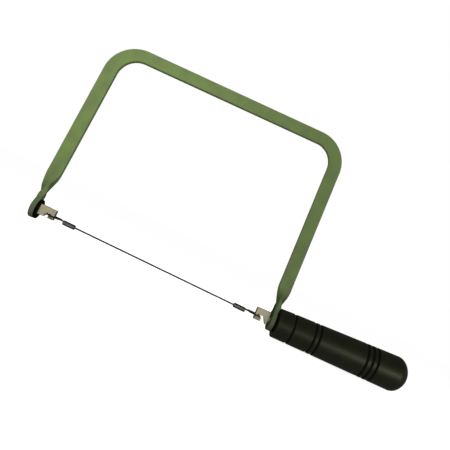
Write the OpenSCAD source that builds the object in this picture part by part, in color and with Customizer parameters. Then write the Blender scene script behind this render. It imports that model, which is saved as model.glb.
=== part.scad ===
// Coping saw with a spiral wire blade, millimetres.
// +X runs along the blade from the toe to the handle, +Z from the blade up to the
// back of the frame, and Y is through the thickness. The origin is half way between
// the seats of the blade's two end rings, at the height of the toe hook's shank.

/* [Frame] */
// Width of the flat bar, across the plane of the frame
bar_w = 9; // [7.5:0.1:9.5]
// Thickness of the flat bar
bar_t = 4.5; // [3.5:0.1:5]
// Chamfer along the four edges of the bar
bar_chamfer = 0.6; // [0.4:0.1:1.1]
// Height of the back's centre line above the blade, half way along
back_z = 132.1; // [115:0.1:140]
// Rise of the back towards the handle, degrees
back_tilt = 1.75; // [0:0.05:2.5]
// Bend radius of the toe corner, to the bar's centre line
toe_corner_r = 20.5; // [14:0.1:28]
// Bend radius of the heel corner, to the bar's centre line
heel_corner_r = 18.6; // [14:0.1:28]
// Outward lean of the toe leg, degrees
toe_splay = 1.7; // [0:0.1:3]
// Outward lean of the heel leg, degrees
heel_splay = 3.1; // [1:0.1:4]
// Height of the top of the quarter twist in each leg
twist_top = 26; // [25:0.5:34]

/* [Eyes at the feet of the legs] */
// Radius of the forged round eye
eye_r = 7.4; // [6.8:0.1:8]
// Thickness of the eye
eye_t = 3.75; // [3:0.05:4]
// Diameter of the hole in each eye
eye_hole_d = 5.06; // [5:0.01:5.1]

/* [Blade] */
// Length over the two end rings
blade_len = 165; // [164.5:0.1:165.2]
// Diameter of the spiral wire
wire_d = 1.2; // [1:0.1:1.5]
// Width of an end ring, through the frame's thickness
ring_w = 13.1; // [12.6:0.1:14]
// Length of an end ring, along the blade
ring_l = 8.9; // [8.4:0.1:9.6]
// Width of the metal round the ring's opening
ring_band = 2; // [1.8:0.05:2.1]
// Thickness of the ring's sheet metal
ring_t = 1; // [0.8:0.05:1.1]
// Length of the crimped ferrule
ferrule_len = 9.2; // [8:0.1:11]
// Outer diameter of the crimped ferrule
ferrule_d = 3.5; // [3:0.1:3.8]

/* [Hooks] */
// Depth of both hooks, through the frame's thickness
hook_depth = 5; // [4.9:0.1:8]
// Height of the slot that takes a ring's end
slot_h = 1.5; // [1.4:0.05:1.6]
// Height of the toe hook's upper arm above the slot
toe_arm_h = 3.85; // [2.5:0.05:4]
// Height of the heel hook's upper arm above the slot
heel_arm_h = 4.7; // [3:0.05:5]
// Diameter of the shank on each hook
shank_d = 4.9; // [4.8:0.01:4.94]
// Tilt of the handle's axis, rising towards its end, degrees
heel_tilt = 2.3; // [1.5:0.1:3]

/* [Washers] */
// Diameter of the black washer beside each eye
washer_d = 14.2; // [12:0.1:15]
// Thickness of the toe washer
toe_washer_t = 1.5; // [1:0.1:2]
// Thickness of the heel washer
heel_washer_t = 1.1; // [1:0.1:1.5]

/* [Handle] */
// Length of the handle
handle_len = 102.5; // [90:0.5:120]
// Diameter of the handle at its front face
handle_front_d = 21.5; // [18:0.1:22]
// Diameter of the handle where its domed end begins
handle_end_d = 25.5; // [24:0.1:27]
// Radius of the round cutter that leaves each groove
groove_r = 0.8; // [0.5:0.1:1]

/* [Hidden] */
$fn = 48;

frame_green = [0.40, 0.48, 0.28];
zinc_yellow = [0.62, 0.60, 0.49];
washer_black = [0.06, 0.06, 0.05];
steel_grey = [0.62, 0.63, 0.61];
dark_steel = [0.22, 0.22, 0.21];
handle_black = [0.10, 0.11, 0.07];
brass = [0.72, 0.58, 0.30];

gap = 0.1;               // play between faces that slide or turn on each other
joint_lap = 0.5;         // how far neighbouring lengths of the frame run into each other
cut = 1;                 // how far a cutter passes through its face

// Places along X on the toe side, from the blade outwards
toe_hook_face = -89.6;
toe_washer_face = toe_hook_face - toe_washer_t;
toe_eye_face = toe_washer_face - eye_t;
rivet_washer_t = 0.8;
rivet_washer_face = toe_eye_face - rivet_washer_t;
rivet_washer_d = 9.6;
rivet_head_h = 1.3;
rivet_head_r = 3.2;
toe_web_x = -78;         // the end of the toe hook that faces the heel

toe_lip_h = 1.95;
toe_block_h = 2.05;
toe_lip_end = 4;
toe_slant = 5.35;
toe_foot = 7.55;

// Places along the tilted heel axis, from the seat of the heel ring outwards
seat_x = blade_len / 2 - ring_band;
heel_web_s = -1.9;       // the end of the heel hook that faces the toe
heel_seat_s = -0.2;      // the face of the heel hook that pulls on the ring
heel_hook_face_s = 8.3;
heel_eye_s = 9.05;
heel_washer_s = heel_eye_s + eye_t;
handle_s = heel_washer_s + heel_washer_t + gap;
rod_end_s = 47;
heel_lip_h = 2.55;
heel_block_h = 3.25;
heel_lip_end = 5;
heel_slant = 6.5;
heel_foot = 9;

// Heights of the blade's parts: the wire hangs a little below the rings
ring_z = -0.25;          // middle of both rings, and of the hooks' slots
wire_z = -1.0;           // axis of the wire and the ferrules

// Places along the blade, from its middle outwards
tang_len = 3;            // length of the ring's tang, inside the ferrule
tang_half = 0.8;         // half the tang's width
ferrule_end = blade_len / 2 - ring_l - 2.4;
wire_end = ferrule_end - tang_len;

// The leg centre lines, as X at the height of the blade
toe_foot_x = toe_eye_face + eye_t / 2 + 0.3;
heel_foot_x = 91.6;
twist_foot = 9;          // height of the bottom of the quarter twist
neck_w = 7.4;            // width of the neck between the twist and the eye
twist_taper = [0.82, 0.78];

// Corners of the frame, where the centre lines of its three sides cross
toe_corner_x = (toe_foot_x + back_z * tan(toe_splay)) / (1 - tan(toe_splay) * tan(back_tilt));
heel_corner_x = (heel_foot_x - back_z * tan(heel_splay)) / (1 + tan(heel_splay) * tan(back_tilt));
toe_corner = [toe_corner_x, back_z + toe_corner_x * tan(back_tilt)];
heel_corner = [heel_corner_x, back_z + heel_corner_x * tan(back_tilt)];
toe_turn = 90 - toe_splay - back_tilt;
heel_turn = 90 - heel_splay + back_tilt;
along_back = [cos(back_tilt), sin(back_tilt)];
into_throat = [sin(back_tilt), -cos(back_tilt)];
down_toe = [-sin(toe_splay), -cos(toe_splay)];
down_heel = [sin(heel_splay), -cos(heel_splay)];
toe_tangent = toe_corner_r * tan(toe_turn / 2);
heel_tangent = heel_corner_r * tan(heel_turn / 2);

function on_toe_leg(z) = [toe_foot_x + z * tan(toe_splay), z];
function on_heel_leg(z) = [heel_foot_x - z * tan(heel_splay), z];
function on_heel_eye(z) = [seat_x + heel_eye_s + eye_t / 2 - z * tan(heel_tilt), z];

// Inside the handle, and along it from its front face
nut_d = 10;
nut_len = 14;
nut_thread_d = 5;
flange_d = 13;
flange_t = 1.2;
bore_d = 5.6;
bore_len = 44;
groove_places = [11.7, 27.3, 31.2, 67.5, 71.6, 75.5];
groove_stand_off = 0.3;  // how far a groove cutter's centre stands off the surface
front_edge = 0.6;        // chamfer round the front face
dome_len = 10.3;
shoulder_r = 8.2;

// Puts children on the tilted heel axis: local +X runs out along the handle
module on_heel_axis(s = 0) {
    translate([seat_x, 0, 0]) rotate([0, -heel_tilt, 0]) translate([s, 0, 0]) children();
}

// A round bar or disc along local +X
module rod_x(d, len) {
    rotate([0, 90, 0]) cylinder(d = d, h = len);
}

// A round washer along local +X
module washer_x(d, hole_d, len) {
    difference() {
        rod_x(d, len);
        translate([-cut, 0, 0]) rod_x(hole_d, len + 2 * cut);
    }
}

// Cross-section of the flat bar, with chamfered edges
module bar_section(w, t, c) {
    x = w / 2;
    y = t / 2;
    polygon([[x, c - y], [x, y - c], [x - c, y], [c - x, y],
             [-x, y - c], [-x, c - y], [c - x, -y], [x - c, -y]]);
}

// Places children at a point of the frame's plane, with local +X along a direction
module along(point, dir) {
    translate(point) rotate(atan2(dir.y, dir.x)) children();
}

// A straight length of the bar that runs a little way into what it meets
module straight_bar(from, to) {
    along(from, to - from) translate([-joint_lap, 0]) rotate([90, 0, 90])
        linear_extrude(norm(to - from) + 2 * joint_lap) bar_section(bar_w, bar_t, bar_chamfer);
}

module corner_bend(centre, radius, start, turn) {
    translate(centre) rotate(start) rotate_extrude(angle = turn, $fn = 160)
        translate([radius, 0]) bar_section(bar_w, bar_t, bar_chamfer);
}

// A quarter twist that ends as thin as the eye it runs into
module quarter_twist(from, to, turn) {
    slimmer = 0.3;
    along(from, to - from) rotate([90, 0, 90])
        linear_extrude(norm(to - from), twist = turn, scale = twist_taper, slices = 18, $fn = 16)
            bar_section(bar_w - slimmer, bar_t - slimmer, bar_chamfer);
}

// Round eye with a neck that widens down from the twist; local Z is up
module eye() {
    neck_top = twist_foot + 1.5;
    neck_half = neck_w / 2;
    rotate([90, 0, 90]) linear_extrude(eye_t) difference() {
        union() {
            circle(r = eye_r);
            polygon([[-neck_half, neck_top], [neck_half, neck_top],
                     [eye_r * cos(10), eye_r * sin(10)], [-eye_r * cos(10), eye_r * sin(10)]]);
        }
        circle(d = eye_hole_d);
    }
}

module frame() {
    toe_start = toe_corner + along_back * toe_tangent;
    heel_start = heel_corner - along_back * heel_tangent;
    toe_leg_top = toe_corner + down_toe * toe_tangent;
    heel_leg_top = heel_corner + down_heel * heel_tangent;
    color(frame_green) union() {
        rotate([90, 0, 0]) {
            straight_bar(toe_start, heel_start);
            corner_bend(toe_start + into_throat * toe_corner_r, toe_corner_r, 90 + back_tilt, toe_turn);
            corner_bend(heel_start + into_throat * heel_corner_r, heel_corner_r, heel_splay, heel_turn);
            straight_bar(toe_leg_top, on_toe_leg(twist_top));
            straight_bar(heel_leg_top, on_heel_leg(twist_top));
            quarter_twist(on_toe_leg(twist_top), [toe_eye_face + eye_t / 2, twist_foot], -90);
            quarter_twist(on_heel_leg(twist_top), on_heel_eye(twist_foot), 90);
        }
        translate([toe_eye_face, 0, 0]) eye();
        on_heel_axis(heel_eye_s) eye();
    }
}

// A hook seen from the side: an arm above and a lip below, joined by a web at x = 0.
// The ring sits against the web's inner face, at x = web. The lip ends at lip_end, and
// the block behind it slants from corner down to foot. Heights are from the slot's edges.
module hook_block(len, web, arm_h, lip_h, block_h, lip_end, corner, foot) {
    top = slot_h / 2 + arm_h;
    lip_bottom = -slot_h / 2 - lip_h;
    block_bottom = -slot_h / 2 - block_h;
    translate([0, hook_depth / 2, ring_z]) rotate([90, 0, 0]) linear_extrude(hook_depth)
        polygon([[0, lip_bottom], [0, top], [len, top], [len, block_bottom], [foot, block_bottom],
                 [corner, slot_h / 2], [web, slot_h / 2], [web, -slot_h / 2],
                 [lip_end, -slot_h / 2], [lip_end, lip_bottom]]);
}

// The toe hook: its shank passes through the eye and is peened over a washer
module toe_hook() {
    len = toe_web_x - toe_hook_face;
    seat = blade_len / 2 - ring_band + toe_web_x - gap;
    shank_len = toe_hook_face - rivet_washer_face;
    dome_r = (rivet_head_r * rivet_head_r + rivet_head_h * rivet_head_h) / (2 * rivet_head_h);
    color(zinc_yellow) union() {
        translate([toe_web_x, 0, 0]) rotate([0, 0, 180])
            hook_block(len, seat, toe_arm_h, toe_lip_h, toe_block_h, toe_lip_end, toe_slant, toe_foot);
        translate([rivet_washer_face - cut / 2, 0, 0]) rod_x(shank_d, shank_len + cut);
        translate([rivet_washer_face, 0, 0]) rotate([0, -90, 0]) rotate_extrude()
            intersection() {
                translate([0, rivet_head_h - dome_r]) circle(r = dome_r, $fn = 96);
                square([rivet_head_r, rivet_head_h]);
            }
    }
}

module toe_washer() {
    color(washer_black) translate([toe_washer_face, 0, 0])
        washer_x(washer_d, eye_hole_d, toe_washer_t);
}

module rivet_washer() {
    color(zinc_yellow) translate([rivet_washer_face, 0, 0])
        washer_x(rivet_washer_d, eye_hole_d, rivet_washer_t);
}

module rounded_rect(x0, x1, half_w, r) {
    union() {
        translate([x0 + r, -half_w]) square([x1 - x0 - 2 * r, 2 * half_w]);
        translate([x0, r - half_w]) square([x1 - x0, 2 * half_w - 2 * r]);
        for (x = [x0 + r, x1 - r], y = [r - half_w, half_w - r]) translate([x, y]) circle(r = r);
    }
}

// End ring for the heel side: x runs outwards along the blade. A neck joins the ring to
// a narrow tang, which is crimped inside the ferrule.
module ring() {
    outer = blade_len / 2;
    inner = outer - ring_l;
    neck_root = inner + 1;
    neck_half = 3.1;
    translate([0, 0, ring_z - ring_t / 2]) union() {
        linear_extrude(ring_t) difference() {
            rounded_rect(inner, outer, ring_w / 2, 1.6);
            rounded_rect(inner + ring_band, outer - ring_band, ring_w / 2 - ring_band, 0.8);
        }
        linear_extrude(ring_t)
            polygon([[neck_root, neck_half], [neck_root, -neck_half],
                     [ferrule_end, -ferrule_d / 2], [ferrule_end, -tang_half],
                     [ferrule_end - tang_len, -tang_half], [ferrule_end - tang_len, tang_half],
                     [ferrule_end, tang_half], [ferrule_end, ferrule_d / 2]]);
    }
}

// Ferrule for the heel side: bored for the wire and slotted for the ring's tang
module ferrule() {
    difference() {
        translate([ferrule_end - ferrule_len, 0, wire_z]) rod_x(ferrule_d, ferrule_len);
        translate([ferrule_end - ferrule_len - cut, 0, wire_z])
            rod_x(wire_d, ferrule_len - tang_len + cut);
        translate([wire_end, -tang_half, ring_z - ring_t / 2])
            cube([tang_len + cut, 2 * tang_half, ring_t]);
    }
}

module heel_ring() {
    color(steel_grey) ring();
}

module toe_ring() {
    color(steel_grey) mirror([1, 0, 0]) ring();
}

module heel_ferrule() {
    color(dark_steel) ferrule();
}

module toe_ferrule() {
    color(dark_steel) mirror([1, 0, 0]) ferrule();
}

module blade_wire() {
    color(dark_steel) translate([-wire_end, 0, wire_z]) rod_x(wire_d, 2 * wire_end);
}

// The heel hook: its threaded shank passes through the eye into the handle's nut
module tension_hook() {
    color(zinc_yellow) on_heel_axis() union() {
        translate([heel_web_s, 0, 0])
            hook_block(heel_hook_face_s - heel_web_s, heel_seat_s - heel_web_s, heel_arm_h,
                       heel_lip_h, heel_block_h, heel_lip_end, heel_slant, heel_foot);
        translate([heel_hook_face_s - cut / 2, 0, 0])
            rod_x(shank_d, rod_end_s - heel_hook_face_s + cut / 2);
    }
}

module heel_washer() {
    color(washer_black) on_heel_axis(heel_washer_s) washer_x(washer_d, eye_hole_d, heel_washer_t);
}

// Half outline of the handle: a tapered body with an end rounded by two tangent arcs
module handle_outline() {
    end_r = handle_end_d / 2;
    front_r = handle_front_d / 2;
    cap_r = (pow(end_r - shoulder_r, 2) + pow(dome_len, 2) - pow(shoulder_r, 2))
            / (2 * (dome_len - shoulder_r));
    cap_y = handle_len - cap_r;
    shoulder = [end_r - shoulder_r, handle_len - dome_len];
    reach = 1.3 * cap_r;
    past_shoulder = (shoulder - [0, cap_y]) * reach / norm(shoulder - [0, cap_y]) + [0, cap_y];
    union() {
        polygon([[0, 0], [front_r - front_edge, 0], [front_r, front_edge],
                 [end_r, handle_len - dome_len], [0, handle_len - dome_len]]);
        translate(shoulder) circle(r = shoulder_r, $fn = 96);
        intersection() {
            translate([0, cap_y]) circle(r = cap_r, $fn = 160);
            polygon([[0, cap_y], [0, cap_y + reach], past_shoulder]);
        }
    }
}

module handle() {
    slope = (handle_end_d - handle_front_d) / 2 / handle_len;
    color(handle_black) on_heel_axis(handle_s) rotate([0, 90, 0]) difference() {
        rotate_extrude($fn = 96) difference() {
            intersection() {
                handle_outline();
                square([handle_end_d, handle_len]);
            }
            for (s = groove_places)
                translate([handle_front_d / 2 + slope * s + groove_stand_off, s])
                    circle(r = groove_r, $fn = 32);
        }
        translate([0, 0, -cut]) cylinder(d = flange_d, h = flange_t + cut);
        translate([0, 0, -cut]) cylinder(d = nut_d, h = nut_len + cut);
        cylinder(d = bore_d, h = bore_len);
    }
}

// Threaded bush pressed into the front of the handle
module handle_nut() {
    color(brass) on_heel_axis(handle_s) difference() {
        union() {
            rod_x(nut_d, nut_len);
            rod_x(flange_d, flange_t);
        }
        translate([-cut, 0, 0]) rod_x(nut_thread_d, nut_len + 2 * cut);
    }
}

frame();
toe_hook();
toe_washer();
rivet_washer();
toe_ring();
toe_ferrule();
blade_wire();
heel_ferrule();
heel_ring();
tension_hook();
heel_washer();
handle();
handle_nut();
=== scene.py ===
import math

import bmesh
import bpy
from mathutils import Matrix, Vector


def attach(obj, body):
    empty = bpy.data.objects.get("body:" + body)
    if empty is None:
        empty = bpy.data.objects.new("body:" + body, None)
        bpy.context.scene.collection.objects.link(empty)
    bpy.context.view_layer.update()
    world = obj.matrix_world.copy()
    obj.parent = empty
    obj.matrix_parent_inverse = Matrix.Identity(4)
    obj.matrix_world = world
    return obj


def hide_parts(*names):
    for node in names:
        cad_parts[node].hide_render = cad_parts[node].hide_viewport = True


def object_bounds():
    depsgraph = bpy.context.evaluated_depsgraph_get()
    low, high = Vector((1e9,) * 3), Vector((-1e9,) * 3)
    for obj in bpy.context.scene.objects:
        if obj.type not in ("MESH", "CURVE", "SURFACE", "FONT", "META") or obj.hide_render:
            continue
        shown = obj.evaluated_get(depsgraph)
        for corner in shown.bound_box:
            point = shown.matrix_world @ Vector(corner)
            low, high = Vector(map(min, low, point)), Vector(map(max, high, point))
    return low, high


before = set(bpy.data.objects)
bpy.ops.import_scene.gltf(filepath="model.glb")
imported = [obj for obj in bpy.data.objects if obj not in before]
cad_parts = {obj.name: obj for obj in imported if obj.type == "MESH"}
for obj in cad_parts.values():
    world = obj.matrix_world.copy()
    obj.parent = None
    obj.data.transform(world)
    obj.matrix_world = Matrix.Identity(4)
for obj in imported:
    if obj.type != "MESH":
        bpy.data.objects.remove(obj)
cad_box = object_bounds()

MM = 0.001
TAU = 2 * math.pi
X, Y, Z = Vector((1, 0, 0)), Vector((0, 1, 0)), Vector((0, 0, 1))
CREASE = 38  # degrees between two faces past which their edge is sharp


# ---------------------------------------------------------------- helpers

def smooth(t):
    """Eases from 0 to 1."""
    t = min(max(t, 0.0), 1.0)
    return t * t * (3 - 2 * t)


def ease(x, start, length):
    """Eases from 0 at start to 1 a length further on."""
    return smooth((x - start) / length)


def mix(a, b, t):
    return a + (b - a) * t


def linked(name, data):
    """A new object in the scene."""
    obj = bpy.data.objects.new(name, data)
    bpy.context.scene.collection.objects.link(obj)
    return obj


def solid_mesh(name, verts, faces):
    """A mesh from points in millimetres, without doubled points and with its faces outward."""
    mesh = bpy.data.meshes.new(name)
    mesh.from_pydata([Vector(v) * MM for v in verts], [], faces)
    bm = bmesh.new()
    bm.from_mesh(mesh)
    bmesh.ops.remove_doubles(bm, verts=bm.verts, dist=2e-7)
    bmesh.ops.dissolve_degenerate(bm, edges=bm.edges, dist=1e-8)
    bmesh.ops.recalc_face_normals(bm, faces=bm.faces)
    bm.to_mesh(mesh)
    bm.free()
    return mesh


def applied_mesh(obj):
    """The object's mesh as its modifiers or curve settings leave it."""
    bpy.context.view_layer.update()
    return bpy.data.meshes.new_from_object(obj.evaluated_get(bpy.context.evaluated_depsgraph_get()))


def weight_normals(obj):
    modifier = obj.modifiers.new("normals", "WEIGHTED_NORMAL")
    modifier.keep_sharp = True


def add_piece(name, verts, faces, mat, body, nodes, slot, angle=CREASE, bevel=0.0, weighted=True):
    """A mesh piece made of points in millimetres in the saw's own frame."""
    mesh = solid_mesh(name, verts, faces)
    mesh.shade_smooth()
    mesh.set_sharp_from_angle(angle=math.radians(angle))
    obj = linked(name, mesh)
    mesh.materials.append(mat)
    if bevel:
        m = obj.modifiers.new("edges", "BEVEL")
        m.width = bevel * MM
        m.segments = 3
        m.limit_method = "ANGLE"
        m.angle_limit = math.radians(30)
    if weighted:
        weight_normals(obj)
    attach(obj, body)
    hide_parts(*nodes)
    return obj


def placed(part, matrix):
    """A part, (verts, faces), moved by a matrix."""
    return [matrix @ Vector(v) for v in part[0]], part[1]


def tube(rings, capped=True):
    """Joins equal rings of points with quads."""
    verts, faces = [], []
    n = len(rings[0])
    for ring in rings:
        verts += ring
    for k in range(len(rings) - 1):
        a, b = k * n, (k + 1) * n
        for i in range(n):
            j = (i + 1) % n
            faces.append([a + i, a + j, b + j, b + i])
    if capped:
        faces.append(list(range(n))[::-1])
        faces.append([(len(rings) - 1) * n + i for i in range(n)])
    return verts, faces


def lathe(profile, segments, loop=False):
    """Turns (x, r) points about the X axis. Points with r = 0 become poles; loop closes the
    outline back to its start."""
    verts, faces, rows = [], [], []
    for x, r in profile:
        if r < 1e-6:
            rows.append([len(verts)])
            verts.append(Vector((x, 0, 0)))
        else:
            rows.append(list(range(len(verts), len(verts) + segments)))
            verts += [Vector((x, r * math.cos(TAU * i / segments), r * math.sin(TAU * i / segments)))
                      for i in range(segments)]
    pairs = list(zip(rows, rows[1:]))
    if loop:
        pairs.append((rows[-1], rows[0]))
    for a, b in pairs:
        for i in range(segments):
            j = (i + 1) % segments
            if len(a) == 1 and len(b) > 1:
                faces.append([a[0], b[j], b[i]])
            elif len(b) == 1 and len(a) > 1:
                faces.append([a[i], a[j], b[0]])
            elif len(a) > 1:
                faces.append([a[i], a[j], b[j], b[i]])
    return verts, faces


def prism(outline, half):
    """An outline of (x, z) points, thick from -half to half along Y."""
    n = len(outline)
    verts = [Vector((x, -half, z)) for x, z in outline] + [Vector((x, half, z)) for x, z in outline]
    faces = [list(range(n)), list(range(n, 2 * n))[::-1]]
    faces += [[i, n + i, n + (i + 1) % n, (i + 1) % n] for i in range(n)]
    return verts, faces


def arc(cx, cy, r, start, end, steps):
    """Points on a circle between two angles in degrees."""
    return [(cx + r * math.cos(math.radians(mix(start, end, k / steps))),
             cy + r * math.sin(math.radians(mix(start, end, k / steps)))) for k in range(steps + 1)]


# -------------------------------------------------------------- materials

def linear(r, g, b):
    """An sRGB colour as scene-linear."""
    def one(c):
        c /= 255
        return c / 12.92 if c <= 0.04045 else ((c + 0.055) / 1.055) ** 2.4
    return (one(r), one(g), one(b), 1.0)


def surface(name, dark, light, metallic, rough, bump, grain, fine, wear=None, specular=0.5, painted_shade_and_grime=(),
            painted_side_shade=None, tint=(1, 1, 1)):
    """A painted, plated or moulded surface: two close colours, uneven roughness and a fine bump.
    bump is a height, and grain and fine are feature sizes, in millimetres. wear is (colour,
    amount) along raised edges. painted_shade_and_grime is a list of (shade, masks) that darken
    the colour by place, painted shade with some grime: each mask (axis, shade_none_at,
    shade_full_at) brings the shade in between two distances in millimetres along an axis.
    painted_side_shade is (shade, axis, shade_none_at, shade_full_at), painted shade by facing:
    faces square to the axis stay unshaded, and the shade comes in as they turn away from it.
    tint colours the highlights."""
    m = bpy.data.materials.new(name)
    m.use_nodes = True
    nt = m.node_tree
    nodes, link = nt.nodes, nt.links.new
    bsdf = nodes["Principled BSDF"]
    coords = nodes.new("ShaderNodeTexCoord")

    def noise(size, detail):
        t = nodes.new("ShaderNodeTexNoise")
        t.inputs["Scale"].default_value = 1000.0 / size
        t.inputs["Detail"].default_value = detail
        link(coords.outputs["Object"], t.inputs["Vector"])
        return t

    def ramp(source, low, high):
        r = nodes.new("ShaderNodeMapRange")
        r.inputs["From Min"].default_value = 0.3
        r.inputs["From Max"].default_value = 0.7
        r.inputs["To Min"].default_value = low
        r.inputs["To Max"].default_value = high
        link(source, r.inputs["Value"])
        return r.outputs["Result"]

    broad = noise(grain, 4)
    small = noise(fine, 3)
    colour = nodes.new("ShaderNodeMix")
    colour.data_type = "RGBA"
    colour.inputs["A"].default_value = dark
    colour.inputs["B"].default_value = light
    link(ramp(broad.outputs["Fac"], 0.0, 1.0), colour.inputs["Factor"])
    out = colour.outputs["Result"]
    if wear:
        geometry = nodes.new("ShaderNodeNewGeometry")
        edge = nodes.new("ShaderNodeMapRange")
        edge.inputs["From Min"].default_value = 0.52
        edge.inputs["From Max"].default_value = 0.62
        edge.inputs["To Max"].default_value = wear[1]
        link(geometry.outputs["Pointiness"], edge.inputs["Value"])
        patchy = nodes.new("ShaderNodeMath")
        patchy.operation = "MULTIPLY"
        link(edge.outputs["Result"], patchy.inputs[0])
        link(ramp(small.outputs["Fac"], 0.2, 1.0), patchy.inputs[1])
        worn = nodes.new("ShaderNodeMix")
        worn.data_type = "RGBA"
        worn.inputs["B"].default_value = wear[0]
        link(out, worn.inputs["A"])
        link(patchy.outputs["Value"], worn.inputs["Factor"])
        out = worn.outputs["Result"]

    def tinted(colour, shade, amount):
        layer = nodes.new("ShaderNodeMix")
        layer.data_type = "RGBA"
        layer.blend_type = "MULTIPLY"
        layer.inputs["B"].default_value = (*shade, 1.0)
        link(colour, layer.inputs["A"])
        link(amount, layer.inputs["Factor"])
        return layer.outputs["Result"]

    def along_axis(source, axis, start, end):
        split = nodes.new("ShaderNodeSeparateXYZ")
        link(source, split.inputs["Vector"])
        away = nodes.new("ShaderNodeMath")
        away.operation = "ABSOLUTE"
        link(split.outputs[axis], away.inputs[0])
        fade = nodes.new("ShaderNodeMapRange")
        fade.interpolation_type = "SMOOTHSTEP"
        fade.inputs["From Min"].default_value = start
        fade.inputs["From Max"].default_value = end
        link(away.outputs["Value"], fade.inputs["Value"])
        return fade.outputs["Result"]

    # Painted shade and grime: the colour is darkened by place, along the given axes.
    for shade, masks in painted_shade_and_grime:
        amounts = [along_axis(coords.outputs["Object"], axis, shade_none_at * MM, shade_full_at * MM)
                   for axis, shade_none_at, shade_full_at in masks]
        for more in amounts[1:]:
            both = nodes.new("ShaderNodeMath")
            both.operation = "MULTIPLY"
            link(amounts[0], both.inputs[0])
            link(more, both.inputs[1])
            amounts[0] = both.outputs["Value"]
        out = tinted(out, shade, amounts[0])
    # Painted shade: faces that turn away from the axis are darkened.
    if painted_side_shade:
        out = tinted(out, painted_side_shade[0], along_axis(coords.outputs["Normal"], *painted_side_shade[1:]))
    link(out, bsdf.inputs["Base Color"])
    link(ramp(broad.outputs["Fac"], rough[0], rough[1]), bsdf.inputs["Roughness"])
    height = nodes.new("ShaderNodeBump")
    height.inputs["Strength"].default_value = 1.0
    height.inputs["Distance"].default_value = bump * MM
    link(small.outputs["Fac"], height.inputs["Height"])
    link(height.outputs["Normal"], bsdf.inputs["Normal"])
    bsdf.inputs["Metallic"].default_value = metallic
    bsdf.inputs["Specular IOR Level"].default_value = specular
    bsdf.inputs["Specular Tint"].default_value = (*tint, 1.0)
    return m


green = surface("green_paint", linear(107, 123, 78), linear(117, 139, 80), metallic=0.0, rough=(0.46, 0.54),
                bump=0.006, grain=12, fine=0.7, specular=0.2,
                # Painted shade and grime: greyer and darker towards the eyes, from 22 mm down to 3 mm high.
                painted_shade_and_grime=[((0.68, 0.66, 0.95), [("Z", 22, 3)]),
                       # Painted shade: the halves of both necks that face the blade are darkened below 26 mm,
                       # as the shadow of the eyes' rounded edges.
                       ((0.33, 0.35, 0.3), [("X", 90.7, 89.4), ("Z", 26, 14)])])
zinc = surface("zinc_plate", linear(184, 172, 140), linear(214, 206, 172), metallic=0.3, rough=(0.36, 0.5),
               bump=0.02, grain=1.6, fine=0.35, wear=(linear(200, 195, 160), 0.6),
               # Painted shade: the hooks' faces that turn away from the front (Y) are darkened.
               painted_side_shade=((0.3, 0.29, 0.27), "Y", 0.85, 0.35))
black = surface("black_washer", linear(4, 4, 3), linear(9, 9, 7), metallic=0.0, rough=(0.6, 0.7),
                bump=0.01, grain=3, fine=0.4, specular=0.05)
ring_steel = surface("ring_steel", linear(92, 94, 88), linear(128, 130, 124), metallic=0.9, rough=(0.3, 0.42),
                     # Painted shade: the rims of the ring plates, which face sideways, are darkened; their
                     # flat faces stay unshaded.
                     bump=0.015, grain=1.5, fine=0.3, painted_side_shade=((0.3, 0.3, 0.29), "Z", 0.85, 0.35))
dark_steel = surface("dark_steel", linear(108, 110, 100), linear(142, 144, 134), metallic=0.3,
                     rough=(0.34, 0.5), bump=0.03, grain=1.2, fine=0.3,
                     # Painted shade: the ferrules' flanks darken to near black as they turn away from the
                     # front.
                     painted_side_shade=((0.06, 0.06, 0.05), "Y", 0.985, 0.8))
blade_steel = surface("blade_steel", linear(60, 60, 56), linear(92, 92, 88), metallic=0.8, rough=(0.4, 0.55),
                      bump=0.02, grain=0.8, fine=0.25)
# Painted shade in the handle's grooves: a darker copy of the handle's colour.
groove_painted_shade = surface("groove_painted_shade", linear(11, 12, 7), linear(16, 17, 11), metallic=0.0, rough=(0.6, 0.7),
                       bump=0.008, grain=7, fine=0.45, specular=0.1)
handle_black = surface("handle_black", linear(24, 27, 17), linear(29, 32, 21), metallic=0.0,
                       rough=(0.44, 0.5), bump=0.008, grain=7, fine=0.45, specular=0.4,
                       tint=(0.9, 0.95, 0.6))
brass = surface("brass", linear(168, 138, 70), linear(196, 164, 92), metallic=1.0, rough=(0.25, 0.4),
                bump=0.01, grain=2, fine=0.3)

# ---------------------------------------------------------- the saw's sizes

# All in millimetres. X is measured from the middle of the blade towards the handle. S is
# measured along the handle's axis, from the seat at SEAT_X.

BACK_HALF_W, TOE_HALF_W, HEEL_HALF_W = 4.4, 4.93, 4.68
BAR_HALF_T, BAR_EDGE = 2.25, 0.65
BACK_Z, BACK_TILT = 132.1, math.radians(1.75)
TOE_SPLAY, HEEL_SPLAY = math.radians(1.7), math.radians(3.1)
TOE_CORNER_R, HEEL_CORNER_R = 20.3, 18.6
TOE_FOOT_X, HEEL_FOOT_X = -92.7, 91.6
TOE_TWIST, HEEL_TWIST = (8.5, 31.0), (10.5, 31.0)  # from and to which height
TWIST_EASE = 0.72  # below 1, a twist makes its turn sooner
EYE_R, EYE_HALF_T = 7.4, 1.875
NECK_HALF_W, NECK_BLEND = 3.7, 0.9  # the blend is how softly an eye's outline runs into its neck
TOE_BOW, HEEL_BOW = (0.3, 12), (0.35, 6)  # how far a neck bows outward, and from which height
BOW_RISE, BOW_TOP, BOW_FALL = 5, 19, 8
OUTERMOST_X = -96.94
TOE_EYE_X = -92.975
SEAT_X, HEEL_TILT = 80.5, math.radians(2.3)
HEEL_EYE_S = 10.925
HOLE_R, SHANK_R = 2.53, 2.45
RING_Z, WIRE_Z = -0.25, -1.0

EYE_STEPS, TWIST_STEPS, LEG_STEPS, BEND_STEPS, BACK_STEPS, DISC_STEPS = 26, 44, 40, 32, 60, 36

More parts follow.
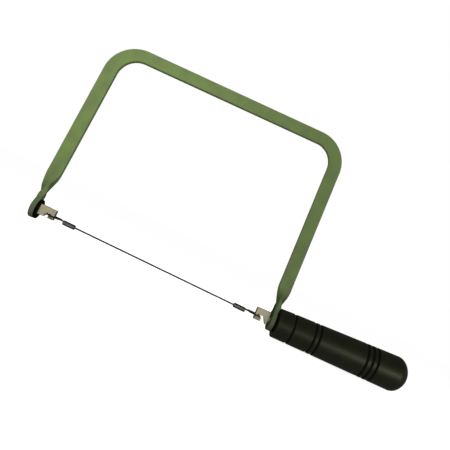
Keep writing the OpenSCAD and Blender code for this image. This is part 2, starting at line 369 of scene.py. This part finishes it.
heel_axis = Matrix.Translation((SEAT_X, 0, 0)) @ Matrix.Rotation(-HEEL_TILT, 4, "Y")


# ------------------------------------------------------------- frame bar

def bar_ring(centre, wide, flat, half_w, half_t):
    """Rounded rectangle about centre; starts and turns at the middle of its two flat faces."""
    w, t = half_w - BAR_EDGE, half_t - BAR_EDGE
    pts = [(0.0, half_t)]
    for x, y, start in ((-w, t, 90), (-w, -t, 180)):
        pts += arc(x, y, BAR_EDGE, start, start + 90, 6)
    pts.append((0.0, -half_t))
    for x, y, start in ((w, -t, 270), (w, t, 0)):
        pts += arc(x, y, BAR_EDGE, start, start + 90, 6)
    return [centre + wide * p + flat * q for p, q in pts]


def leg_rings(eye_centre, eye_up, outward, leg_foot, leg_dir, top, twist, leg_half_w, bow):
    """Rings from the eye's middle up to the top of a leg."""
    rings = []
    low, high = twist
    bow_out, bow_start = bow
    neck = eye_centre + eye_up * low
    twist_top = leg_foot + leg_dir * (high / leg_dir.z)
    heights = [low * k / EYE_STEPS for k in range(EYE_STEPS + 1)]
    heights += [mix(low, high, k / TWIST_STEPS) for k in range(1, TWIST_STEPS + 1)]
    heights += [mix(high, top, k / LEG_STEPS) for k in range(1, LEG_STEPS + 1)]
    for h in heights:
        t = (h - low) / (high - low)
        if h <= low:
            centre, up = eye_centre + eye_up * h, eye_up
        elif h <= high:
            centre = neck.lerp(twist_top, t)
            up = eye_up.lerp(leg_dir, smooth(t)).normalized()
        else:
            centre, up = leg_foot + leg_dir * (h / leg_dir.z), leg_dir
        shift = bow_out * ease(h, bow_start, BOW_RISE) * (1 - ease(h, BOW_TOP, BOW_FALL))
        centre = centre + outward * shift
        turn = math.pi / 2 * (1 - smooth(max(t, 0.0) ** TWIST_EASE))
        out = Y.cross(up).normalized()
        if out.dot(outward) < 0:
            out = -out
        wide = out * math.cos(turn) + Y * math.sin(turn)
        flat = -Y * math.cos(turn) + out * math.sin(turn)
        neck_w = mix(NECK_HALF_W, leg_half_w, ease(t, 0.1, 0.7))
        round_w = math.sqrt(max(EYE_R ** 2 - h * h, 0.0))
        half_w = math.log(math.exp(neck_w / NECK_BLEND) + math.exp(round_w / NECK_BLEND)) * NECK_BLEND
        # from the eye's circle, through the blend of the two, to the neck's own width
        half_w = mix(EYE_R, half_w, ease(h, 0, 2.5))
        half_w = mix(half_w, neck_w, ease(h, 8, 6))
        half_t = mix(EYE_HALF_T, BAR_HALF_T, ease(h, 6, 6))
        ring = bar_ring(centre, wide, flat, half_w, half_t)
        rings.append([Vector((max(p.x, OUTERMOST_X), p.y, p.z)) for p in ring])
    return rings


def bend_rings(start, heading, radius, turn, from_w, to_w):
    """Rings round a corner of the bar, after the one at its start."""
    inward = Y.cross(heading)
    centre = start + inward * radius
    rings = []
    for k in range(1, BEND_STEPS + 1):
        out = Matrix.Rotation(turn * k / BEND_STEPS, 3, "Y") @ -inward
        half_w = mix(from_w, to_w, smooth(k / BEND_STEPS))
        rings.append(bar_ring(centre + out * radius, out, -Y, half_w, BAR_HALF_T))
    return rings


def close_eye(verts, faces, base, count, centre, up):
    """Closes an eye with half a turn of its section, count points from base on, about the hole."""
    half = count // 2
    right = list(range(base + half + 1, base + count))
    left = list(range(base + 1, base + half))[::-1]
    section = [verts[i] for i in right]
    flat = (verts[base] - verts[base + half]).normalized()
    side = section[len(section) // 2] - centre
    side = (side - flat * side.dot(flat)).normalized()
    rows = [right]
    for k in range(1, DISC_STEPS):
        a = math.pi * k / DISC_STEPS
        around = side * math.cos(a) - up * math.sin(a)
        row = []
        for p in section:
            d = p - centre
            row.append(len(verts))
            verts.append(centre + around * d.dot(side) + flat * d.dot(flat))
        rows.append(row)
    rows.append(left)
    for p, q in zip(rows, rows[1:]):
        for i in range(len(p) - 1):
            faces.append([p[i], p[i + 1], q[i + 1], q[i]])
        faces.append([base + half, p[0], q[0]])
        faces.append([base, q[-1], p[-1]])


def cut_hole(obj, place):
    """Bores an eye along the X axis of a place, with a slight flare at both faces."""
    t, flare, beyond = EYE_HALF_T, 0.35, 2
    mouth = HOLE_R + flare + beyond
    profile = [(-t - beyond, 0), (-t - beyond, mouth), (-t + flare, HOLE_R), (t - flare, HOLE_R),
               (t + beyond, mouth), (t + beyond, 0)]
    cutter = linked("cutter", solid_mesh("cutter", *placed(lathe(profile, 48), place)))
    hole = obj.modifiers.new("hole", "BOOLEAN")
    hole.object, hole.operation, hole.solver = cutter, "DIFFERENCE", "EXACT"
    cut = applied_mesh(obj)
    obj.modifiers.clear()
    obj.data = cut
    bpy.data.objects.remove(cutter)


def build_frame():
    down_toe = Vector((-math.sin(TOE_SPLAY), 0, -math.cos(TOE_SPLAY)))
    down_heel = Vector((math.sin(HEEL_SPLAY), 0, -math.cos(HEEL_SPLAY)))
    along = Vector((math.cos(BACK_TILT), 0, math.sin(BACK_TILT)))
    toe_foot, heel_foot = Vector((TOE_FOOT_X, 0, 0)), Vector((HEEL_FOOT_X, 0, 0))
    back = Vector((0, 0, BACK_Z))

    def crossing(foot, down):
        """Where the centre line of a leg meets that of the back."""
        d = back - foot
        det = down.x * along.z - down.z * along.x
        return foot - down * ((d.z * along.x - d.x * along.z) / det)

    toe_corner, heel_corner = crossing(toe_foot, down_toe), crossing(heel_foot, down_heel)
    toe_turn, heel_turn = math.pi / 2 - TOE_SPLAY - BACK_TILT, math.pi / 2 - HEEL_SPLAY + BACK_TILT
    toe_cut = TOE_CORNER_R * math.tan(toe_turn / 2)
    heel_cut = HEEL_CORNER_R * math.tan(heel_turn / 2)
    toe_top, heel_top = toe_corner + down_toe * toe_cut, heel_corner + down_heel * heel_cut
    toe_eye, heel_eye = Vector((TOE_EYE_X, 0, 0)), heel_axis @ Vector((HEEL_EYE_S, 0, 0))
    heel_up = Vector((-math.sin(HEEL_TILT), 0, math.cos(HEEL_TILT)))
    heel = leg_rings(heel_eye, heel_up, X, heel_foot, -down_heel, heel_top.z, HEEL_TWIST, HEEL_HALF_W,
                     HEEL_BOW)
    a, b = toe_corner + along * toe_cut, heel_corner - along * heel_cut
    up = along.cross(Y).normalized()
    rings = leg_rings(toe_eye, Z, -X, toe_foot, -down_toe, toe_top.z, TOE_TWIST, TOE_HALF_W, TOE_BOW)
    rings += bend_rings(toe_top, -down_toe, TOE_CORNER_R, toe_turn, TOE_HALF_W, BACK_HALF_W)
    rings += [bar_ring(a.lerp(b, k / BACK_STEPS), up, -Y, BACK_HALF_W, BAR_HALF_T)
              for k in range(1, BACK_STEPS)]
    rings += bend_rings(b, along, HEEL_CORNER_R, heel_turn, BACK_HALF_W, HEEL_HALF_W)
    rings += heel[-2::-1]
    verts, faces = tube(rings, capped=False)
    count = len(rings[0])
    close_eye(verts, faces, 0, count, toe_eye, Z)
    close_eye(verts, faces, (len(rings) - 1) * count, count, heel_eye, heel_up)
    obj = add_piece("frame_bar", verts, faces, green, "frame", ["frame"], "frame_paint", weighted=False)
    for place in (Matrix.Translation(toe_eye), heel_axis @ Matrix.Translation((HEEL_EYE_S, 0, 0))):
        cut_hole(obj, place)
    obj.data.shade_smooth()
    obj.data.set_sharp_from_angle(angle=math.radians(CREASE))
    weight_normals(obj)


build_frame()


# ------------------------------------------------------------------ hooks

SLOT_HALF, HOOK_HALF, HOOK_BEVEL = 0.75, 2.5, 0.28
TOE_HOOK_X, HEEL_HOOK_S = -78.0, -1.9  # the ends that face the blade
TOE_SHANK_X, PEEN_X, PEEN_R = -89.8, -95.65, 3.1
THREAD_FROM, THREAD_TO, THREAD_PITCH, THREAD_DEPTH = 8.0, 46.9, 0.8, 0.42


def hook_outline(length, web, arm, lip, block, lip_end, corner, foot):
    """Side view of a hook: an arm over a lip, joined by a web at x = 0, and the block behind them.
    Heights run from the slot's edges; the slot's middle is at the height of the rings."""
    top, lip_low, block_low = SLOT_HALF + arm, -SLOT_HALF - lip, -SLOT_HALF - block
    pts = [(0, lip_low), (0, top), (length, top), (length, block_low), (foot, block_low), (corner, SLOT_HALF),
           (web, SLOT_HALF), (web, -SLOT_HALF), (lip_end, -SLOT_HALF), (lip_end, lip_low)]
    return [(x, z + RING_Z) for x, z in pts]


def dome(x0, x1, r):
    """Half outline of a low dome from its rim at x0 to its crown at x1."""
    steps = 10
    h = abs(x1 - x0)
    big = (r * r + h * h) / (2 * h)
    span = math.asin(min(r / big, 1.0))
    sign = 1 if x1 > x0 else -1
    angles = [span * (1 - k / steps) for k in range(steps + 1)]
    return [(x0 + sign * (big * math.cos(a) - (big - h)), big * math.sin(a)) for a in angles]


def thread(x0, x1, r, pitch, depth):
    """A rod along X with a helical V thread and plain ends."""
    rings = []
    per_turn, segments = 8, 24
    count = int((x1 - x0) / pitch * per_turn)
    for k in range(count + 1):
        x = mix(x0, x1, k / count)
        fade = min(1.0, x - x0, x1 - x)
        ring = []
        for i in range(segments):
            a = TAU * i / segments
            phase = ((x / pitch) - i / segments) % 1.0
            rr = r - depth * fade * abs(2 * phase - 1)
            ring.append(Vector((x, rr * math.cos(a), rr * math.sin(a))))
        rings.append(ring)
    return tube(rings)


toe_outline = hook_outline(length=11.6, web=2.4, arm=3.85, lip=1.95, block=2.05, lip_end=4.0, corner=5.35,
                           foot=7.55)
toe_place = Matrix.Translation((TOE_HOOK_X, 0, 0)) @ Matrix.Rotation(math.pi, 4, "Z")
add_piece("toe_hook_block", *placed(prism(toe_outline, HOOK_HALF), toe_place), zinc, "frame", ["toe_hook"],
          "zinc", bevel=HOOK_BEVEL)
shank = [(TOE_SHANK_X, 0), (TOE_SHANK_X, SHANK_R), (-95.6, SHANK_R), (-95.66, 2.8)]
add_piece("toe_hook_shank", *lathe(shank + dome(PEEN_X, OUTERMOST_X, PEEN_R), 48), zinc, "frame",
          ["toe_hook"], "zinc")

heel_outline = hook_outline(length=10.2, web=1.7, arm=4.7, lip=2.55, block=3.25, lip_end=5.0, corner=6.5,
                            foot=9.0)
heel_place = heel_axis @ Matrix.Translation((HEEL_HOOK_S, 0, 0))
add_piece("tension_hook_block", *placed(prism(heel_outline, HOOK_HALF), heel_place), zinc, "tension_hook",
          ["tension_hook"], "zinc", bevel=HOOK_BEVEL)
screw = thread(THREAD_FROM, THREAD_TO, SHANK_R, THREAD_PITCH, THREAD_DEPTH)
add_piece("tension_hook_thread", *placed(screw, heel_axis), zinc, "tension_hook", ["tension_hook"], "zinc",
          angle=75)


# ---------------------------------------------------------------- washers

WASHER_R, RIVET_WASHER_R = 7.1, 4.75


def washer(x0, x1, r_out, edge):
    """A flat washer round a shank, with rounded rims."""
    pts = arc(x0 + edge, r_out - edge, edge, 180, 90, 4) + arc(x1 - edge, r_out - edge, edge, 90, 0, 4)
    inner = edge * 0.5
    pts += arc(x1 - inner, HOLE_R + inner, inner, 0, -90, 3)
    pts += arc(x0 + inner, HOLE_R + inner, inner, -90, -180, 3)
    return lathe(pts, 72, loop=True)


add_piece("toe_washer_disc", *washer(-91.1, -89.6, WASHER_R, 0.4), black, "frame", ["toe_washer"],
          "black_washer")
add_piece("rivet_washer_disc", *washer(PEEN_X, -94.85, RIVET_WASHER_R, 0.25), zinc, "frame",
          ["rivet_washer"], "zinc")
add_piece("heel_washer_disc", *placed(washer(12.8, 13.9, WASHER_R, 0.3), heel_axis), black, "frame",
          ["heel_washer"], "black_washer")


# ------------------------------------------------------------------ blade

def rounded_loop(x0, x1, half, radii):
    """Rounded rectangle, counter-clockwise from the corner (x1, half); radii for that corner,
    (x0, half), (x0, -half) and (x1, -half)."""
    a, b, c, d = radii
    steps = 6
    return (arc(x1 - a, half - a, a, 0, 90, steps) + arc(x0 + b, half - b, b, 90, 180, steps)
            + arc(x0 + c, c - half, c, 180, 270, steps) + arc(x1 - d, d - half, d, 270, 360, steps))


def plate(name, loops, thick, edge, matrix):
    """A flat pressed plate from outlines in the XY plane, with rounded edges."""
    curve = bpy.data.curves.new(name, "CURVE")
    curve.dimensions = "2D"
    curve.fill_mode = "BOTH"
    for loop in loops:
        s = curve.splines.new("POLY")
        s.points.add(len(loop) - 1)
        for p, (x, y) in zip(s.points, loop):
            p.co = (x, y, 0, 1)
        s.use_cyclic_u = True
    curve.extrude = thick / 2 - edge
    curve.bevel_depth = edge
    curve.bevel_resolution = 2
    curve.offset = -edge
    obj = linked(name, curve)
    mesh = applied_mesh(obj)
    bpy.data.objects.remove(obj)
    return [matrix @ v.co for v in mesh.vertices], [list(p.vertices) for p in mesh.polygons]


RING_IN, RING_OUT, RING_HALF = 73.6, 82.5, 6.55
WINDOW_IN, WINDOW_OUT, WINDOW_HALF = 75.6, 80.5, 4.55
RING_THICK, RING_EDGE = 1.0, 0.22


def ring_part(side):
    """End ring of the blade: a frame with a tail for the ferrule and two nicks in its window."""
    def mirrored(points):
        return [(x, -y) for x, y in reversed(points)]

    tail = [(RING_IN, 2.6), (72.6, 2.0), (71.2, 1.4), (70.7, 0.8), (68.4, 0.8)]
    nick = [(WINDOW_IN, 2.5), (75.15, 2.3), (75.15, 1.3), (WINDOW_IN, 1.1)]
    body = rounded_loop(RING_IN, RING_OUT, RING_HALF, (1.3, 2.3, 2.3, 1.3))
    window = rounded_loop(WINDOW_IN, WINDOW_OUT, WINDOW_HALF, (0.7, 1.3, 1.3, 0.7))
    half = len(body) // 2
    loops = [body[:half] + tail + mirrored(tail) + body[half:],
             window[:half] + nick + mirrored(nick) + window[half:]]
    turn = Matrix.Rotation(0 if side > 0 else math.pi, 4, "Z")
    return plate("ring", loops, RING_THICK, RING_EDGE, Matrix.Translation((0, 0, RING_Z)) @ turn)


FERRULE_IN, FERRULE_OUT, FERRULE_R, FERRULE_STEPS = 62.0, 71.2, 1.72, 96
BANDS, BAND_WIDTH, BAND_DEPTH = (64.0, 66.6, 69.2), 0.42, 0.24


def ferrule_part(side):
    """Crimped sleeve: bevelled ends, pressed bands across it and slightly flattened by them."""
    rings = []
    for k in range(FERRULE_STEPS + 1):
        x = mix(FERRULE_IN, FERRULE_OUT, k / FERRULE_STEPS)
        end = min(x - FERRULE_IN, FERRULE_OUT - x)
        r = FERRULE_R - 0.35 * (1 - ease(end, 0, 0.5))
        ring = []
        for i in range(40):
            a = TAU * i / 40
            press = sum(math.exp(-((x - c) / BAND_WIDTH) ** 2) for c in BANDS)
            press *= max(0.0, abs(math.cos(a)) - 0.45) / 0.55
            rr = r - BAND_DEPTH * press
            ring.append(Vector((x * side, rr * math.cos(a) * side, WIRE_Z + rr * math.sin(a))))
        rings.append(ring)
    return tube(rings)


WIRE_HALF_LEN, WIRE_PITCH, WIRE_CORE_R, WIRE_RIDGE = 68.0, 1.5, 0.52, 0.14


def wire_part():
    """Spiral saw wire: a core with two fine raised edges wound round it."""
    rings = []
    count = int(2 * WIRE_HALF_LEN / WIRE_PITCH * 10)
    for k in range(count + 1):
        x = mix(-WIRE_HALF_LEN, WIRE_HALF_LEN, k / count)
        ring = []
        for i in range(12):
            a = TAU * i / 12
            lobe = 0.5 + 0.5 * math.cos(2 * (a - TAU * x / WIRE_PITCH / 2))
            r = WIRE_CORE_R + WIRE_RIDGE * lobe ** 2
            ring.append(Vector((x, r * math.cos(a), WIRE_Z + r * math.sin(a))))
        rings.append(ring)
    return tube(rings)


add_piece("blade_ring_toe", *ring_part(-1), ring_steel, "frame", ["toe_ring"], "ring_steel")
add_piece("blade_ring_heel", *ring_part(1), ring_steel, "frame", ["heel_ring"], "ring_steel")
add_piece("blade_ferrule_toe", *ferrule_part(-1), dark_steel, "frame", ["toe_ferrule"], "ferrule_steel")
add_piece("blade_ferrule_heel", *ferrule_part(1), dark_steel, "frame", ["heel_ferrule"], "ferrule_steel")
add_piece("blade_wire_spiral", *wire_part(), blade_steel, "frame", ["blade_wire"], "blade_steel", angle=80)

# ----------------------------------------------------------------- handle

HANDLE_S, HANDLE_LEN = 14.0, 102.5
FRONT_R, END_R, DOME_LEN, SHOULDER_R = 10.75, 12.75, 10.3, 8.2
BORE_DEPTH, BORE_R, NUT_DEPTH, NUT_R = 44.0, 2.8, 14.0, 5.0
GROOVES = (11.7, 27.3, 31.2, 67.5, 71.6, 75.5)
GROOVE_DEPTH, GROOVE_HALF, GROOVE_SHADE_HALF = 0.5, 1.05, 0.7


def handle_part():
    """The grip, with its bore: a slight cone with grooves, a rounded shoulder and a flatter end."""
    body_end = HANDLE_LEN - DOME_LEN
    cap_r = ((END_R - SHOULDER_R) ** 2 + DOME_LEN ** 2 - SHOULDER_R ** 2) / (2 * (DOME_LEN - SHOULDER_R))
    cap_y = HANDLE_LEN - cap_r
    pts = [(BORE_DEPTH, 0.0), (BORE_DEPTH, BORE_R), (NUT_DEPTH, BORE_R), (NUT_DEPTH, NUT_R), (1.2, NUT_R),
           (1.2, 6.5), (0.0, 6.5)]
    pts += arc(0.5, FRONT_R - 0.5, 0.5, 180, 92, 6)
    count = 460
    for k in range(1, count + 1):
        s = mix(0.75, body_end, k / count)
        r = mix(FRONT_R, END_R, s / body_end)
        for g in GROOVES:
            u = (s - g) / GROOVE_HALF
            if abs(u) < 1:
                r -= GROOVE_DEPTH * (1 - u * u) ** 1.5
        pts.append((s, r))
    meet = math.degrees(math.atan2(END_R - SHOULDER_R, body_end - cap_y))
    pts += arc(body_end, END_R - SHOULDER_R, SHOULDER_R, 90, meet, 24)[1:]
    pts += arc(cap_y, 0.0, cap_r, meet, 0, 20)[1:-1] + [(HANDLE_LEN, 0.0)]
    return lathe(pts, 128)


handle_place = heel_axis @ Matrix.Translation((HANDLE_S, 0, 0))
grip = add_piece("handle_grip", *placed(handle_part(), handle_place), handle_black,
                 "handle", ["handle"], "handle_black", weighted=False)
# Painted shade: faces at the bottoms of the grooves get the darker groove material.
grip.data.materials.append(groove_painted_shade)
for face in grip.data.polygons:
    spot = handle_place.inverted() @ (face.center / MM)
    in_groove = any(abs(spot.x - g) < GROOVE_SHADE_HALF for g in GROOVES)
    if in_groove and math.hypot(spot.y, spot.z) > FRONT_R - 2:
        face.material_index = 1

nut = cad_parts["handle_nut"]
nut.data.materials.clear()
nut.data.materials.append(brass)

# ------------------------------------------------------------------ stage

scene = bpy.context.scene


def floor_material():
    """White paper that also glows a little, so that it stays even and pale."""
    m = bpy.data.materials.new("floor_white")
    m.use_nodes = True
    b = m.node_tree.nodes["Principled BSDF"]
    b.inputs["Base Color"].default_value = (0.9, 0.9, 0.9, 1)
    b.inputs["Roughness"].default_value = 0.9
    b.inputs["Specular IOR Level"].default_value = 0.1
    b.inputs["Emission Color"].default_value = (1, 1, 1, 1)
    b.inputs["Emission Strength"].default_value = 0.82
    return m


bpy.ops.mesh.primitive_circle_add(vertices=128, radius=30.0, fill_type="NGON",
                                  location=(0.05, 0, cad_box[0].z - 0.0002))
floor = bpy.context.object
floor.name = "floor"
floor.data.materials.append(floor_material())
floor.visible_glossy = False
floor.visible_diffuse = False


def softbox(name, place, aim, watts, size):
    """A rectangular lamp, in metres, that the camera doesn't see."""
    data = bpy.data.lights.new(name, "AREA")
    data.energy = watts
    data.shape = "RECTANGLE"
    data.size, data.size_y = size
    obj = linked(name, data)
    obj.location = Vector(place)
    obj.rotation_euler = (Vector(aim) - Vector(place)).to_track_quat("-Z", "Y").to_euler()
    obj.visible_camera = False
    return obj


key = softbox("front_key", (-0.11, -0.28, 0.15), (-0.02, 0.0, 0.08), 0.74, (0.12, 0.12))
key.visible_glossy = False
sheen = softbox("front_strip", (0.35, -0.36, 0.015), (0.14, 0.0, 0.0), 0.55, (0.3, 0.06))
sheen.visible_diffuse = False
fill = softbox("rear_fill", (0.07, 0.5, 0.09), (0.02, 0.0, 0.05), 1.2, (0.1, 0.25))
fill.visible_glossy = False


def studio_world():
    """White backdrop; as light it is dim, and brighter towards the handle's side and from below."""
    world = bpy.data.worlds.new("studio")
    scene.world = world
    world.use_nodes = True
    nodes, link = world.node_tree.nodes, world.node_tree.links.new
    backdrop = nodes["Background"]
    backdrop.inputs["Color"].default_value = (1, 1, 1, 1)
    backdrop.inputs["Strength"].default_value = 1.0
    coords = nodes.new("ShaderNodeTexCoord")
    side = nodes.new("ShaderNodeVectorMath")
    side.operation = "DOT_PRODUCT"
    side.inputs[1].default_value = Vector((0.93, -0.1, -0.35)).normalized()
    link(coords.outputs["Generated"], side.inputs[0])
    path = nodes.new("ShaderNodeLightPath")
    light = nodes.new("ShaderNodeBackground")
    levels = []
    for low_level, high_level in ((0.03, 0.58), (0.02, 0.28)):
        level = nodes.new("ShaderNodeMapRange")
        level.inputs["From Min"].default_value = -1.0
        level.inputs["To Min"].default_value = low_level
        level.inputs["To Max"].default_value = high_level
        link(side.outputs["Value"], level.inputs["Value"])
        levels.append(level.outputs["Result"])
    which = nodes.new("ShaderNodeMix")
    link(path.outputs["Is Glossy Ray"], which.inputs["Factor"])
    link(levels[0], which.inputs["A"])
    link(levels[1], which.inputs["B"])
    link(which.outputs["Result"], light.inputs["Strength"])
    pick = nodes.new("ShaderNodeMixShader")
    link(path.outputs["Is Camera Ray"], pick.inputs["Fac"])
    link(light.outputs["Background"], pick.inputs[1])
    link(backdrop.outputs["Background"], pick.inputs[2])
    link(pick.outputs["Shader"], nodes["World Output"].inputs["Surface"])


studio_world()

# ----------------------------------------------------------------- camera

# The camera starts level, looking along Y, and is turned about its own axes: roll about the line
# of sight, turn about the upright one, nod about the one to its right.
CAMERA_ROLL, CAMERA_TURN, CAMERA_NOD = (math.radians(a) for a in (26.03, -1.96, -3.0))
CAMERA_PLACE = Vector((19.63, -358.36, 28.43)) * MM

turn = (Matrix.Rotation(CAMERA_ROLL, 3, "Z") @ Matrix.Rotation(CAMERA_TURN, 3, "Y")
        @ Matrix.Rotation(CAMERA_NOD, 3, "X") @ Matrix(((1, 0, 0), (0, 0, -1), (0, 1, 0))))
right, down, ahead = turn[0], turn[1], turn[2]
camera_data = bpy.data.cameras.new("camera")
camera_data.lens = 40.24
camera_data.sensor_width = 36
camera_data.clip_start = 0.01
camera = linked("camera", camera_data)
pose = Matrix((right, -down, -ahead)).transposed().to_4x4()
pose.translation = CAMERA_PLACE
camera.matrix_world = pose
scene.camera = camera
scene.view_settings.view_transform = "Standard"
